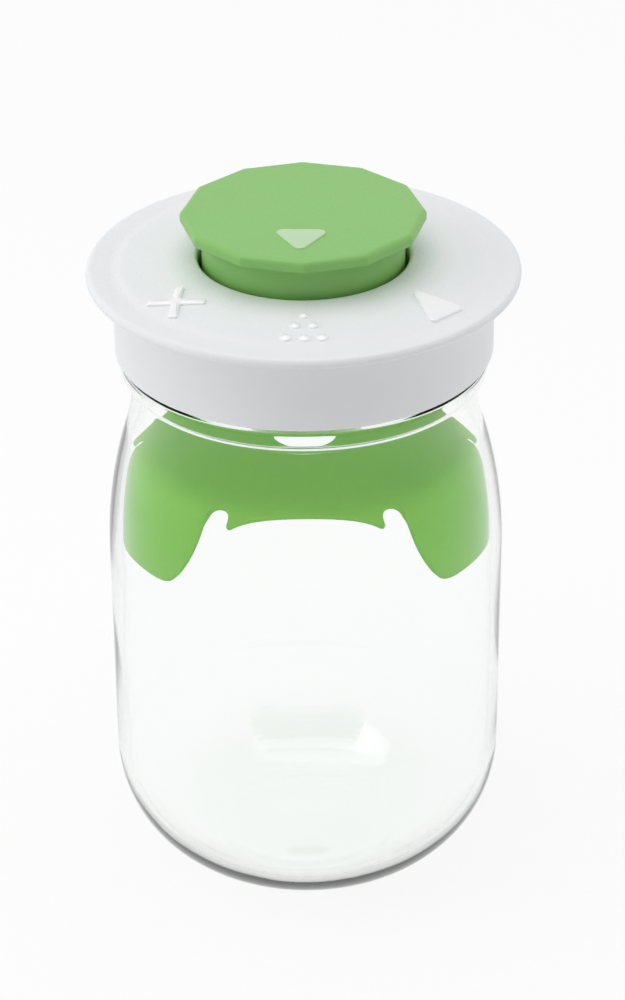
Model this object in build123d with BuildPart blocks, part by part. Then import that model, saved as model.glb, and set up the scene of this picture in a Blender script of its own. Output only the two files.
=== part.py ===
from build123d import *
import math
import os

# Fermentation jar: a one litre glass jar with a white screw lid, a twelve-sided green knob that works a gas valve
# in the lid, and a green keeper that holds down what is in the jar.
# Lengths are in millimetres and angles in degrees. The origin is the centre of the base, +Z is up, -Y is the front.

# Glass jar: the body
body_radius = 51.0
body_wall = 2.7
foot_radius = 24.0
foot_width = 4.0
push_up = 2.0
base_wall = 4.5
heel_height = 31.0

# Glass jar: the shoulder, which draws in to a waist below the finish
shoulder_height = 90.0
shoulder_share = 0.73
waist_radius = 43.3
waist_height = 136.0
waist_length = 5.0

# Glass jar: the finish, with the bead that the lid's skirt comes down over
neck_wall = 2.4
bead_reach = 2.2
bead_flare = 9.2
bead_width = 1.5
bead_slope = 1.8
bead_round = 0.6
finish_length = 10.5

# Silicone seal, in the lid's channel over the rim
seal_thickness = 1.6
seal_gap = 0.3

# Lid: disc, skirt and the plug ring inside the neck
lid_radius = 53.1
brim_thickness = 2.4
brim_width = 3.7
brim_step = 0.35
brim_blend = 0.9
disc_rise = 2.35
disc_wall = 2.3
skirt_radius = 48.1
skirt_wall = 1.8
skirt_length = 19.0
skirt_round = 0.55
plug_gap = 0.5
plug_wall = 1.8
plug_length = 4.6
rib_count = 12
rib_wall = 1.4
rib_length = 3.6

# Lid: the well that the knob stands in, and the hub in its floor
well_radius = 26.1
well_wall = 1.8
well_depth = 16.0
well_floor = 2.0
well_round = 0.8
hub_wall = 2.9
hub_height = 6.0
port_radius = 2.0
port_reach = 15.0
stop_width = 3.0
stop_height = 4.2

# Angle either side of the front at which the closed and the open marks stand
station_angle = 57.0

# Knob: the twelve-sided grip and its round neck
grip_sides = 12
grip_radius = 30.2
grip_thickness = 4.5
grip_top_round = 1.3
grip_under_round = 0.9
grip_corner_round = 2.0
knob_height = 11.4
knob_plate = 2.4
cove_height = 5.0
cove_reach = 2.8
neck_gap = 1.1
knob_neck_wall = 2.0
knob_lift = 0.4
knob_rib_count = 6
knob_rib_wall = 1.5

# Knob: the stem that turns in the hub
stem_radius = 5.0
stem_fit = 0.05
stem_end = 4.2
clip_gap = 0.3
clip_thickness = 1.0
clip_reach = 2.4
clip_depth = 0.8
clip_mouth = 6.4
ring_section = 0.8
ring_height = 3.4
fit_gap = 0.05
part_gap = 0.3

# Valve plate under the knob and its mushroom valve
plate_gap = 0.1
plate_thickness = 3.2
plate_edge = 22.4
valve_web = 1.4
valve_bulb_radius = 2.1
valve_neck_radius = 1.1
valve_head_radius = 4.6
valve_head_height = 1.5
valve_lip = 0.5
gas_hole_radius = 0.7
gas_hole_reach = 2.9
open_hole_radius = 2.6

# Pointer: the pale triangle set in the knob's top
pointer_tip = 21.8
pointer_base = 9.3
pointer_width = 12.4
pointer_round = 1.7
pointer_depth = 1.0
pointer_stand = 0.3

# Keeper: a shallow bell with three petals that spring out under the shoulder
keeper_wall = 1.2
keeper_gap = 0.4
keeper_share = 0.4565
keeper_crown = 2.0
keeper_corner_drop = 6.0
keeper_corner_width = 8.3
petal_length = 24.0
petal_count = 3
window_tip = 31.4
window_bow = 25.4
petal_round = 4.0
tab_setback = 4.0
tab_half = 16.0
notch_radius = 3.0
notch_depth = 5.9
finger_hole_radius = 8.0

# Heights of the waist and the finish, which follow from the shoulder
waist_top = waist_height + waist_length
bead_under = waist_top + bead_flare
rim_height = bead_under + bead_width + bead_slope + finish_length

# Heights that follow from the rim
disc_under = rim_height + seal_gap + seal_thickness
brim_top = disc_under + brim_thickness
hole_top = brim_top + brim_step + disc_rise
well_top = hole_top - well_depth
knob_top = hole_top + knob_height
grip_under = knob_top - grip_thickness
knob_bottom = well_top + knob_lift
plate_bottom = well_top + plate_gap
plate_top = plate_bottom + plate_thickness
stem_bottom = well_top - well_floor - stem_end

# Radii that follow from their neighbours
body_inside = body_radius - body_wall
neck_inside = waist_radius - neck_wall
bead_radius = waist_radius + bead_reach
plug_radius = neck_inside - plug_gap
skirt_inside = skirt_radius - skirt_wall
hub_bore = stem_radius + stem_fit
hub_radius = hub_bore + hub_wall
knob_neck_radius = well_radius - neck_gap
knob_neck_inside = knob_neck_radius - knob_neck_wall


def shoulder(low, high):
    """Two arcs from an upright wall to an upright waist, which meet on the line between their ends."""
    join = (
        low[0] + shoulder_share * (high[0] - low[0]),
        low[1] + shoulder_share * (high[1] - low[1]),
    )
    first = TangentArc(low, join, tangent=(0, 1))
    TangentArc(join, high, tangent=first % 1)


def inner_wall(height):
    """Radius of the glass's inner face at a height on the lower arc of the shoulder."""
    drop = waist_height - shoulder_height
    draw = body_inside - neck_inside
    turn = 2 * math.atan2(draw, drop)
    radius = shoulder_share * drop / math.sin(turn)
    rise = math.sqrt(radius**2 - (height - shoulder_height) ** 2)
    return body_inside - radius + math.copysign(rise, radius)


# Height of the keeper's bend, which lodges part of the way up the shoulder, and of its plate
keeper_bend = shoulder_height + keeper_share * (waist_height - shoulder_height)
keeper_height = keeper_bend + keeper_corner_drop

# Reach of the keeper's plate, tabs and notches, from the wall around them
keeper_edge = inner_wall(keeper_bend) - keeper_gap
keeper_flat_radius = keeper_edge - keeper_corner_width
tab_reach = inner_wall(keeper_height) - keeper_gap - tab_setback
notch_reach = tab_reach - notch_depth

# Glass jar: one section turned about the axis, open at the mouth
with BuildPart() as glass_jar:
    with BuildSketch(Plane.XZ):
        with BuildLine():
            TangentArc((0, push_up), (foot_radius - foot_width, 0), tangent=(1, 0))
            Line((foot_radius - foot_width, 0), (foot_radius, 0))
            EllipticalCenterArc(
                (foot_radius, heel_height),
                body_radius - foot_radius,
                heel_height,
                start_angle=270,
                arc_size=90,
            )
            Line((body_radius, heel_height), (body_radius, shoulder_height))
            shoulder((body_radius, shoulder_height), (waist_radius, waist_height))
            Line((waist_radius, waist_height), (waist_radius, waist_top))
            TangentArc((waist_radius, waist_top), (bead_radius, bead_under), tangent=(0, 1))
            Polyline(
                (bead_radius, bead_under),
                (bead_radius, bead_under + bead_width),
                (waist_radius, bead_under + bead_width + bead_slope),
                (waist_radius, rim_height),
                (neck_inside, rim_height),
                (neck_inside, waist_height),
            )
            shoulder((body_inside, shoulder_height), (neck_inside, waist_height))
            Line((body_inside, shoulder_height), (body_inside, heel_height))
            EllipticalCenterArc(
                (foot_radius, heel_height),
                body_inside - foot_radius,
                heel_height - base_wall,
                start_angle=270,
                arc_size=90,
            )
            TangentArc((0, base_wall + push_up), (foot_radius, base_wall), tangent=(1, 0))
            Line((0, base_wall + push_up), (0, push_up))
        section = make_face()
        bead_corners = section.vertices().filter_by_position(
            Axis.X, bead_radius - 0.01, bead_radius + 0.01
        )
        fillet(bead_corners.filter_by_position(Axis.Y, waist_top, rim_height), bead_round)
        fillet(section.vertices().group_by(Axis.Y)[-1], neck_wall * 0.35)
    revolve(axis=Axis.Z)
glass_jar.part.label = "glass_jar"

# Seal: a flat silicone ring between the rim and the lid
with BuildPart() as lid_seal:
    with BuildSketch(Plane.XY.offset(rim_height + seal_gap)):
        Circle(skirt_inside - part_gap)
        Circle(plug_radius + part_gap, mode=Mode.SUBTRACT)
    extrude(amount=seal_thickness)
    fillet(lid_seal.edges().group_by(Axis.Z)[0], seal_thickness * 0.25)
lid_seal.part.label = "lid_seal"

# Lid: disc, skirt, plug ring, well and hub in one turned section
with BuildPart() as lid_shell:
    with BuildSketch(Plane.XZ):
        brim_inner = lid_radius - brim_width
        slope = disc_rise / (brim_inner - brim_blend - well_radius)
        well_outside = well_radius + well_wall
        plug_inside = plug_radius - plug_wall
        with BuildLine():
            Polyline(
                (hub_bore, well_top - well_floor),
                (well_outside, well_top - well_floor),
                (well_outside, hole_top - slope * well_wall - disc_wall),
                (plug_inside, hole_top - slope * (plug_inside - well_radius) - disc_wall),
                (plug_inside, disc_under - plug_length),
                (plug_radius, disc_under - plug_length),
                (plug_radius, disc_under),
                (skirt_inside, disc_under),
                (skirt_inside, disc_under - skirt_length),
                (skirt_radius, disc_under - skirt_length),
                (skirt_radius, disc_under),
                (lid_radius, disc_under),
                (lid_radius, brim_top),
                (brim_inner, brim_top),
                (brim_inner - brim_blend, brim_top + brim_step),
                (well_radius, hole_top),
                (well_radius, well_top),
                (hub_radius, well_top),
                (hub_radius, well_top + hub_height),
                (hub_bore, well_top + hub_height),
                close=True,
            )
        section = make_face()
        fillet(section.vertices().group_by(Axis.X)[-1], brim_thickness * 0.4)
        fillet(section.vertices().group_by(Axis.Y)[0], skirt_round)
        fillet(section.vertices().group_by(Axis.Y)[-1], well_round)
        bottom_corner = section.vertices().filter_by_position(
            Axis.X, well_outside - 0.01, well_outside + 0.01
        )
        fillet(bottom_corner.sort_by(Axis.Y)[0], well_round)
    revolve(axis=Axis.Z)
    # Ribs that stiffen the disc between the well and the plug ring
    with BuildSketch(Plane.XY.offset(disc_under - rib_length)):
        with PolarLocations((well_outside + plug_inside) / 2, rib_count, start_angle=15):
            Rectangle(plug_inside - well_outside + 0.8, rib_wall)
    extrude(until=Until.NEXT)
    # Port in the floor of the well, at the front
    with BuildSketch(Plane.XY.offset(well_top)):
        with Locations((0, -port_reach)):
            Circle(port_radius)
    extrude(amount=-well_floor, mode=Mode.SUBTRACT)
    # Stop that the knob's neck turns against, at the back of the well
    with BuildSketch(Plane.XY.offset(well_top)):
        stop_inner = knob_neck_inside + part_gap + 0.1
        stop_depth = well_radius + well_wall / 2 - stop_inner
        with Locations((0, stop_inner + stop_depth / 2)):
            Rectangle(stop_width, stop_depth)
    extrude(amount=stop_height)
lid_shell.part.label = "lid_shell"

# Pointer outline: a triangle with round corners that points to the front
with BuildSketch(Plane.XY) as pointer_outline:
    with BuildLine():
        Polyline(
            (-pointer_width / 2, -pointer_base),
            (0, -pointer_tip),
            (pointer_width / 2, -pointer_base),
            close=True,
        )
    make_face()
    fillet(pointer_outline.vertices(), pointer_round)

# Knob: grip, coved neck, ribs and stem
with BuildPart() as knob:
    with BuildSketch(Plane.XY.offset(grip_under)):
        grip = RegularPolygon(grip_radius, grip_sides)
        fillet(grip.vertices(), grip_corner_round)
    extrude(amount=grip_thickness)
    fillet(knob.edges().group_by(Axis.Z)[-1], grip_top_round)
    fillet(knob.edges().group_by(Axis.Z)[0], grip_under_round)
    with BuildSketch(Plane.XZ):
        with BuildLine():
            Line((0, knob_bottom), (knob_neck_radius, knob_bottom))
            Line((knob_neck_radius, knob_bottom), (knob_neck_radius, grip_under - cove_height))
            TangentArc(
                (knob_neck_radius, grip_under - cove_height),
                (knob_neck_radius + cove_reach, grip_under + 0.2),
                tangent=(0, 1),
            )
            Polyline(
                (knob_neck_radius + cove_reach, grip_under + 0.2),
                (0, grip_under + 0.2),
                (0, knob_bottom),
            )
        make_face()
    revolve(axis=Axis.Z)
    # Hollow from below
    with BuildSketch(Plane.XY.offset(knob_bottom)):
        Circle(knob_neck_inside)
    extrude(amount=knob_top - knob_plate - knob_bottom, mode=Mode.SUBTRACT)
    # Slot in the foot of the neck, whose ends meet the stop at either end of the turn
    stop_half = math.degrees(math.asin(stop_width / 2 / knob_neck_inside))
    slot_half = station_angle + stop_half + 0.3
    with BuildSketch(Plane.XY.offset(knob_bottom)):
        reach = 2 * grip_radius
        with BuildLine():
            Polyline(
                (0, 0),
                (reach * math.sin(math.radians(slot_half)), reach * math.cos(math.radians(slot_half))),
                (0, 2 * reach),
                (-reach * math.sin(math.radians(slot_half)), reach * math.cos(math.radians(slot_half))),
                close=True,
            )
        make_face()
    extrude(amount=stop_height + 2 * part_gap - knob_lift, mode=Mode.SUBTRACT)
    # Ribs from the top plate down to the valve plate, clear of the hub
    with BuildSketch(Plane.XY.offset(plate_top)):
        with PolarLocations(knob_neck_inside / 2, knob_rib_count):
            Rectangle(knob_neck_inside + 0.1, knob_rib_wall)
    extrude(amount=knob_top - knob_plate - plate_top + 0.2)
    with BuildSketch(Plane.XY.offset(plate_top)):
        Circle(hub_radius + part_gap)
    extrude(amount=well_top + hub_height + part_gap - plate_top, mode=Mode.SUBTRACT)
    # Stem, with grooves for the ring and the clip
    with BuildSketch(Plane.XY.offset(stem_bottom)):
        Circle(stem_radius)
    extrude(amount=knob_top - knob_plate - stem_bottom + 0.2)
    fillet(knob.edges().group_by(Axis.Z)[0], stem_radius * 0.15)
    clip_top = well_top - well_floor - clip_gap
    clip_seat = stem_radius - clip_depth
    with BuildSketch(Plane.XY.offset(clip_top + fit_gap)):
        Circle(stem_radius + 1)
        Circle(clip_seat, mode=Mode.SUBTRACT)
    extrude(amount=-clip_thickness - 2 * fit_gap, mode=Mode.SUBTRACT)
    ring_centre = well_top + ring_height
    ring_seat = stem_radius - 2 * ring_section
    with BuildSketch(Plane.XY.offset(ring_centre - ring_section - part_gap / 2)):
        Circle(stem_radius + 1)
        Circle(ring_seat, mode=Mode.SUBTRACT)
    extrude(amount=2 * ring_section + part_gap, mode=Mode.SUBTRACT)
    # Pocket for the pointer
    with BuildSketch(Plane.XY.offset(knob_top)):
        offset(pointer_outline.sketch, amount=fit_gap)
    extrude(amount=-pointer_depth, mode=Mode.SUBTRACT)
knob.part.label = "knob"

# Pointer: the triangle, standing a little proud of the knob
with BuildPart() as pointer:
    with BuildSketch(Plane.XY.offset(knob_top - pointer_depth)):
        add(pointer_outline.sketch)
    extrude(amount=pointer_depth + pointer_stand)
    fillet(pointer.edges().group_by(Axis.Z)[-1], pointer_stand * 0.8)
pointer.part.label = "pointer"

# Stem ring: a round silicone ring in the stem's upper groove
with BuildPart() as stem_ring:
    with BuildSketch(Plane.XZ):
        with Locations((stem_radius - ring_section, ring_centre)):
            Circle(ring_section)
    revolve(axis=Axis.Z)
stem_ring.part.label = "stem_ring"

# Stem clip: an open snap ring in the lower groove, which keeps the knob in the lid
with BuildPart() as stem_clip:
    with BuildSketch(Plane.XY.offset(clip_top - clip_thickness)):
        Circle(clip_seat + fit_gap + clip_reach)
        Circle(clip_seat + fit_gap, mode=Mode.SUBTRACT)
        with Locations((0, clip_seat + clip_reach)):
            Rectangle(clip_mouth, 2 * clip_seat, mode=Mode.SUBTRACT)
    extrude(amount=clip_thickness)
stem_clip.part.label = "stem_clip"

# Valve plate: a silicone disc with an open hole, a valve seat and a blank third station
with BuildPart() as valve_plate:
    with BuildSketch(Plane.XY.offset(plate_bottom)):
        Circle(plate_edge)
        Circle(hub_radius + part_gap, mode=Mode.SUBTRACT)
        with Locations(Rotation(0, 0, -90 - station_angle)):
            with Locations((port_reach, 0)):
                Circle(open_hole_radius, mode=Mode.SUBTRACT)
        with Locations((0, -port_reach)):
            Circle(valve_neck_radius + fit_gap, mode=Mode.SUBTRACT)
            with PolarLocations(gas_hole_reach, 4, start_angle=45):
                Circle(gas_hole_radius, mode=Mode.SUBTRACT)
    extrude(amount=plate_thickness)
    with BuildSketch(Plane.XY.offset(plate_bottom)):
        with Locations((0, -port_reach)):
            Circle(gas_hole_reach + gas_hole_radius + part_gap)
    extrude(amount=plate_thickness - valve_web, mode=Mode.SUBTRACT)
valve_plate.part.label = "valve_plate"

# Relief valve: a silicone mushroom that lets gas out of the jar and no air in
with BuildPart() as relief_valve:
    with BuildSketch(Plane.XZ.offset(port_reach)):
        web_under = plate_top - valve_web
        with BuildLine():
            Polyline(
                (0, web_under - valve_bulb_radius * 0.6),
                (valve_neck_radius * 0.8, web_under - valve_bulb_radius * 0.6),
                (valve_bulb_radius, web_under - fit_gap),
                (valve_neck_radius, web_under - fit_gap),
                (valve_neck_radius, plate_top + fit_gap),
                (valve_head_radius, plate_top + fit_gap),
                (valve_head_radius, plate_top + valve_lip),
            )
            crown = (0, plate_top + valve_head_height)
            TangentArc(crown, (valve_head_radius, plate_top + valve_lip), tangent=(1, 0))
            Line(crown, (0, web_under - valve_bulb_radius * 0.6))
        make_face()
    revolve(axis=Axis((0, -port_reach, 0), (0, 0, 1)))
relief_valve.part.label = "relief_valve"


def bell_lines(inset):
    """Half section of the keeper's solid bell, drawn inset from its outer face."""
    tip = keeper_height - petal_length
    middle = (tip + keeper_bend) / 2
    side = keeper_gap + inset
    wall = ThreePointArc(
        (inner_wall(tip) - side, tip),
        (inner_wall(middle) - side, middle),
        (inner_wall(keeper_bend) - side, keeper_bend),
    )
    TangentArc(wall @ 1, (keeper_flat_radius, keeper_height - inset), tangent=wall % 1)
    crown = (0, keeper_height + keeper_crown - inset)
    TangentArc(crown, (keeper_flat_radius, keeper_height - inset), tangent=(1, 0))
    Polyline(crown, (0, tip), wall @ 0)


# Keeper: a thin bell, cut away in front of three tabs so that three petals are left
with BuildPart() as keeper:
    with BuildSketch(Plane.XZ):
        with BuildLine():
            bell_lines(0)
        make_face()
    revolve(axis=Axis.Z)
    with BuildSketch(Plane.XZ):
        with BuildLine():
            bell_lines(keeper_wall)
        make_face()
    revolve(axis=Axis.Z, mode=Mode.SUBTRACT)
    notch_out = tab_half + 2 * notch_radius
    tip = keeper_height - petal_length
    above = keeper_height + 2 * keeper_crown
    under = keeper_height - keeper_wall
    for turn in range(petal_count):
        angle = math.radians(turn * 360 / petal_count)
        across = (math.cos(angle), math.sin(angle), 0)
        outward = (math.sin(angle), -math.cos(angle), 0)
        front = Plane(origin=(0, 0, 0), x_dir=across, z_dir=outward)
        # Window between two petals, with a notch at each end of the tab
        with BuildSketch(front.offset(notch_reach)):
            with BuildLine():
                Polyline(
                    (0, under),
                    (tab_half, under),
                    (tab_half, above),
                    (notch_out, above),
                    (notch_out, keeper_height - keeper_corner_drop / 2),
                )
                ThreePointArc(
                    (notch_out, keeper_height - keeper_corner_drop / 2),
                    (window_bow, (keeper_height + tip) / 2),
                    (window_tip - petal_round / 2, tip + petal_round),
                )
                ThreePointArc(
                    (window_tip - petal_round / 2, tip + petal_round),
                    (window_tip, tip + petal_round * 0.3),
                    (window_tip + petal_round, tip),
                )
                Polyline(
                    (window_tip + petal_round, tip),
                    (window_tip + petal_round, tip - petal_round),
                    (0, tip - petal_round),
                    (0, under),
                )
            make_face()
            mirror(about=Plane.YZ)
        extrude(amount=body_radius, mode=Mode.SUBTRACT)
        # Straight edge of the tab
        with BuildSketch(front.offset(tab_reach)):
            with Locations((0, keeper_height)):
                Rectangle(2 * tab_half + 1, 4 * keeper_corner_drop)
        extrude(amount=body_radius, mode=Mode.SUBTRACT)
        # Round inner ends of the two notches
        with BuildSketch(Plane(origin=(0, 0, above), x_dir=across, z_dir=(0, 0, 1))):
            with Locations((tab_half + notch_radius, -notch_reach), (-tab_half - notch_radius, -notch_reach)):
                Circle(notch_radius)
        extrude(amount=-petal_length / 2, mode=Mode.SUBTRACT)
    # Finger hole in the crown
    with BuildSketch(Plane.XY.offset(above)):
        Circle(finger_hole_radius)
    extrude(amount=-petal_length / 2, mode=Mode.SUBTRACT)
keeper.part.label = "keeper"

os.makedirs("parts", exist_ok=True)
export_step(glass_jar.part, "parts/glass_jar.step")
export_step(lid_seal.part, "parts/lid_seal.step")
export_step(lid_shell.part, "parts/lid_shell.step")
export_step(knob.part, "parts/knob.step")
export_step(pointer.part, "parts/pointer.step")
export_step(stem_ring.part, "parts/stem_ring.step")
export_step(stem_clip.part, "parts/stem_clip.step")
export_step(valve_plate.part, "parts/valve_plate.step")
export_step(relief_valve.part, "parts/relief_valve.step")
export_step(keeper.part, "parts/keeper.step")
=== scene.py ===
"""Fermentation jar: glass jar, screw lid with a gas valve under a twelve-sided knob, and a petalled keeper.

Lengths are in metres in the part's own frame: the origin is the centre of the base, +Z is up and -Y is
the front.
"""

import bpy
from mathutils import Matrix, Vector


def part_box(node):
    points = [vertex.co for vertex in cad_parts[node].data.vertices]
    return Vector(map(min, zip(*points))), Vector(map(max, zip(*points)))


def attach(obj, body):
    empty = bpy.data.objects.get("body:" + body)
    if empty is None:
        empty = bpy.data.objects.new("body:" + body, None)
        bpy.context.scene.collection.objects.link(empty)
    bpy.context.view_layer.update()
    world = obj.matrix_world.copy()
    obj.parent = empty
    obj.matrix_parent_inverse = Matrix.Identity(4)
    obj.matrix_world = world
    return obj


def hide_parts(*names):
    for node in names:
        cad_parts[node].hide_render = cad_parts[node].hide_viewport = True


bl_info = {
    "name": "Fermentation Jar",
    "version": (1, 0, 0),
    "blender": (4, 5, 0),
    "location": "3D View > Sidebar > Jar",
    "description": "Builds a one litre fermentation jar with its lid, knob and keeper",
    "category": "Add Mesh",
}

import math

import bpy
import numpy as np

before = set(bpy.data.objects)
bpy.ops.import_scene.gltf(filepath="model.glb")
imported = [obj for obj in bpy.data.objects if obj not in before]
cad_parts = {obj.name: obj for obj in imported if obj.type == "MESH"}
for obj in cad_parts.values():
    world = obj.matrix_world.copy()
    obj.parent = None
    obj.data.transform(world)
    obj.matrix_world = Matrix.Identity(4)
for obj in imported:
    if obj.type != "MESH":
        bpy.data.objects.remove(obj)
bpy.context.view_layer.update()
MM = 0.001
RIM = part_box("glass_jar")[1].z
KNOB_FOOT, KNOB_TOP = (corner.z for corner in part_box("knob"))
LID_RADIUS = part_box("lid_shell")[1].x
NECK_WALL, SKIRT_WALL, PLUG_WALL = 2.4 * MM, 1.8 * MM, 1.8 * MM
# Share of the shoulder's chord at which its two arcs meet
SHOULDER_SHARE = 0.73
# Heights of the lid's disc at the well, of its underside and of the well's floor
DISC_TOP, DISC_UNDER = KNOB_TOP - 11.4 * MM, RIM + 1.9 * MM
WELL_FLOOR = DISC_TOP - 16 * MM
# The three-start thread on the neck and in the skirt
THREAD_LEAD, THREAD_PITCH, THREAD_WIDTH, THREAD_FADE = 12 * MM, 4 * MM, 1.7 * MM, 1.2 * MM
UP = (0.0, 1.0)
OUT = (1.0, 0.0)


# Profiles in the plane of radius and height

def unit(vectors):
    """The same directions with length 1, along the last axis."""
    vectors = np.asarray(vectors, float)
    return vectors / np.linalg.norm(vectors, axis=-1, keepdims=True)


def drop_doubles(points):
    """The same points in order, without those that lie within a micrometre of the one before."""
    gaps = np.linalg.norm(np.diff(points, axis=0), axis=1)
    return points[np.concatenate(([True], gaps > 1e-6))]


def chain(*parts):
    """One profile from several stretches laid end to end."""
    return drop_doubles(np.vstack([np.atleast_2d(np.asarray(part, float)) for part in parts]))


def straight(start, end, count):
    """Points at equal steps from start to end: start + t (end - start)."""
    start, end = np.array((start, end), float)
    return start + np.linspace(0, 1, count)[:, None] * (end - start)


def tangent_arc(start, end, direction, count):
    """Circle through start and end that leaves start along a direction.

    The centre lies on the normal at start at a distance of the chord squared over twice its share along the
    normal, and the angle at the centre runs evenly from start to end.
    """
    along = unit(direction)
    normal = np.array((-along[1], along[0]))
    chord = np.asarray(end, float) - np.asarray(start, float)
    reach = chord @ chord / (2 * chord @ normal)
    sweep = 2 * math.atan2(chord @ normal, chord @ along)
    turn = np.linspace(0, sweep, count)[:, None]
    return start + reach * (np.sin(turn) * along + (1 - np.cos(turn)) * normal)


def arc_end(start, end, direction):
    """Direction in which the tangent arc arrives: the chord's, turned on by as much as it left by."""
    chord = np.asarray(end, float) - np.asarray(start, float)
    bearing = 2 * math.atan2(chord[1], chord[0]) - math.atan2(direction[1], direction[0])
    return np.array((math.cos(bearing), math.sin(bearing)))


def double_arc(start, end, direction, share, count):
    """Two tangent arcs that meet on the chord at a share of its length; both ends lie along one direction."""
    start, end = np.array((start, end), float)
    join = start + share * (end - start)
    first = tangent_arc(start, join, direction, count)
    return chain(first, tangent_arc(join, end, arc_end(start, join, direction), count))


def ellipse_arc(centre, half_width, half_height, start, stop, count):
    """Centre plus the half axes times the cosine and the sine of an angle that runs evenly, in degrees."""
    turn = np.radians(np.linspace(start, stop, count))
    return np.column_stack((centre[0] + half_width * np.cos(turn), centre[1] + half_height * np.sin(turn)))


def rounded(corners, radii, steps=5, margin=0.35 * MM):
    """Closed outline with each corner cut by a circle of its radius.

    The circle touches both sides at radius / tan(half angle) from the corner. Its points turn evenly from the
    first touching point to the second, and a further point on each side, at the margin or at 0.3 of the free
    stretch, keeps the shading of the straight part flat.
    """
    corners = np.asarray(corners, float)
    radii = np.maximum(np.broadcast_to(np.asarray(radii, float), len(corners)), 1e-9)
    sides = np.stack([np.roll(corners, shift, axis=0) - corners for shift in (1, -1)])
    lengths = np.linalg.norm(sides, axis=2)
    sides = unit(sides)
    half = np.arccos(np.clip((sides[0] * sides[1]).sum(1), -1, 1)) / 2
    touch = radii / np.tan(half)
    centre = corners + unit(sides.sum(0)) * (radii / np.sin(half))[:, None]
    first, last = corners + sides * touch[:, None] - centre
    sweep = (math.pi - 2 * half)[:, None]
    share = np.linspace(0, 1, steps)
    lead, trail = ((np.sin(part * sweep) / np.sin(sweep))[..., None] for part in (1 - share, share))
    arcs = centre[:, None] + lead * first[:, None] + trail * last[:, None]
    free = lengths - touch - np.stack([np.roll(touch, shift) for shift in (1, -1)])
    lead_in, lead_out = corners + sides * (touch + np.minimum(margin, 0.3 * free))[..., None]
    loop = np.concatenate((lead_in[:, None], arcs, lead_out[:, None]), axis=1)
    return drop_doubles(loop.reshape(-1, 2))


def cornered(table, steps=5):
    """Rounded outline from a table of corners: two coordinates in metres and the radius in millimetres."""
    table = np.array(table, float)
    return rounded(table[:, :2], table[:, 2] * MM, steps)


def divided(profile, longest, closed=False):
    """The same line with its long stretches cut into equal steps no longer than the limit."""
    ends = np.vstack((profile, profile[:1])) if closed else profile
    lengths = np.linalg.norm(np.diff(ends, axis=0), axis=1)
    parts = np.maximum(1, np.ceil(lengths / longest)).astype(int)
    where = np.repeat(np.arange(len(parts)), parts)
    order = np.arange(len(where)) - np.repeat(np.cumsum(parts) - parts, parts)
    share = (order / parts[where])[:, None]
    points = ends[where] + share * (ends[where + 1] - ends[where])
    return points if closed else np.vstack((points, ends[-1:]))


# Surfaces: a grid of points, rows along the profile and columns round the axis

def turned(radius, height, angles):
    """Grid of points: the radius times the cosine and the sine of the angle, and the height."""
    radius, height, angles = np.broadcast_arrays(radius, height, angles)
    return np.stack((radius * np.cos(angles), radius * np.sin(angles), height), axis=2)


def even_angles(count):
    """Equal steps round a full turn."""
    return np.arange(count) * 2 * math.pi / count


def skin(grid, ring=False):
    """Vertices and faces of a grid that closes round its columns.

    Each cell is a quad of a row, the next column and the next row. In a ring the last row joins the first one,
    and otherwise the first and the last row become one vertex each, with triangles. The outside is to the right
    of a profile that runs counterclockwise.
    """
    rows, columns = grid.shape[:2]
    index = np.arange(rows * columns).reshape(rows, columns)
    beside = np.roll(index, -1, axis=1)
    low = np.arange(rows) if ring else np.arange(1, rows - 2)
    high = (low + 1) % rows
    quads = np.stack((index[low], beside[low], beside[high], index[high]), axis=2).reshape(-1, 4)
    triangles = np.zeros((0, 3), int)
    if not ring:
        first, last = (np.full(columns, index[row, 0]) for row in (0, -1))
        caps = ((first, beside[1], index[1]), (index[-2], beside[-2], last))
        triangles = np.vstack([np.stack(cap, axis=1) for cap in caps])
    used = np.unique(np.concatenate((quads.ravel(), triangles.ravel())))
    place = np.zeros(rows * columns, int)
    place[used] = np.arange(len(used))
    return grid.reshape(-1, 3)[used], place[quads], place[triangles]


def linked(name, mesh):
    """An object of a mesh, in the scene, at the origin."""
    made = bpy.data.objects.new(name, mesh)
    bpy.context.scene.collection.objects.link(made)
    return made


def piece(name, skins, material, body, stands_for=()):
    """One object from one or more closed skins, smooth shaded, at the origin, riding on its body."""
    points, loops, sizes, offset = [], [], [], 0
    for vertices, quads, triangles in skins:
        points.append(vertices)
        loops.extend(((quads + offset).ravel(), (triangles + offset).ravel()))
        sizes.extend((np.full(len(quads), 4), np.full(len(triangles), 3)))
        offset += len(vertices)
    points, loops, sizes = np.vstack(points), np.concatenate(loops), np.concatenate(sizes)
    mesh = bpy.data.meshes.new(name)
    mesh.vertices.add(len(points))
    mesh.vertices.foreach_set("co", points.astype(np.float32).ravel())
    mesh.loops.add(len(loops))
    mesh.loops.foreach_set("vertex_index", loops.astype(np.int32))
    mesh.polygons.add(len(sizes))
    mesh.polygons.foreach_set("loop_start", (np.cumsum(sizes) - sizes).astype(np.int32))
    mesh.polygons.foreach_set("loop_total", sizes.astype(np.int32))
    mesh.polygons.foreach_set("use_smooth", np.ones(len(sizes), bool))
    mesh.update(calc_edges=True)
    if mesh.validate():
        raise RuntimeError(f"{name}: the mesh has broken faces")
    made = linked(name, mesh)
    mesh.materials.append(material)
    if stands_for:
        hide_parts(*stands_for)
    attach(made, body)
    return made


def flat_turned(name, profile, angles, shift=(0, 0, 0)):
    """An object with flat faces, turned from a profile whose ends are on the axis, and shifted."""
    grid = turned(profile[:, :1], profile[:, 1:], angles) + np.array(shift)
    vertices, quads, triangles = skin(grid)
    mesh = bpy.data.meshes.new(name)
    mesh.from_pydata(vertices.tolist(), [], quads.tolist() + triangles.tolist())
    return linked(name, mesh)


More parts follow.
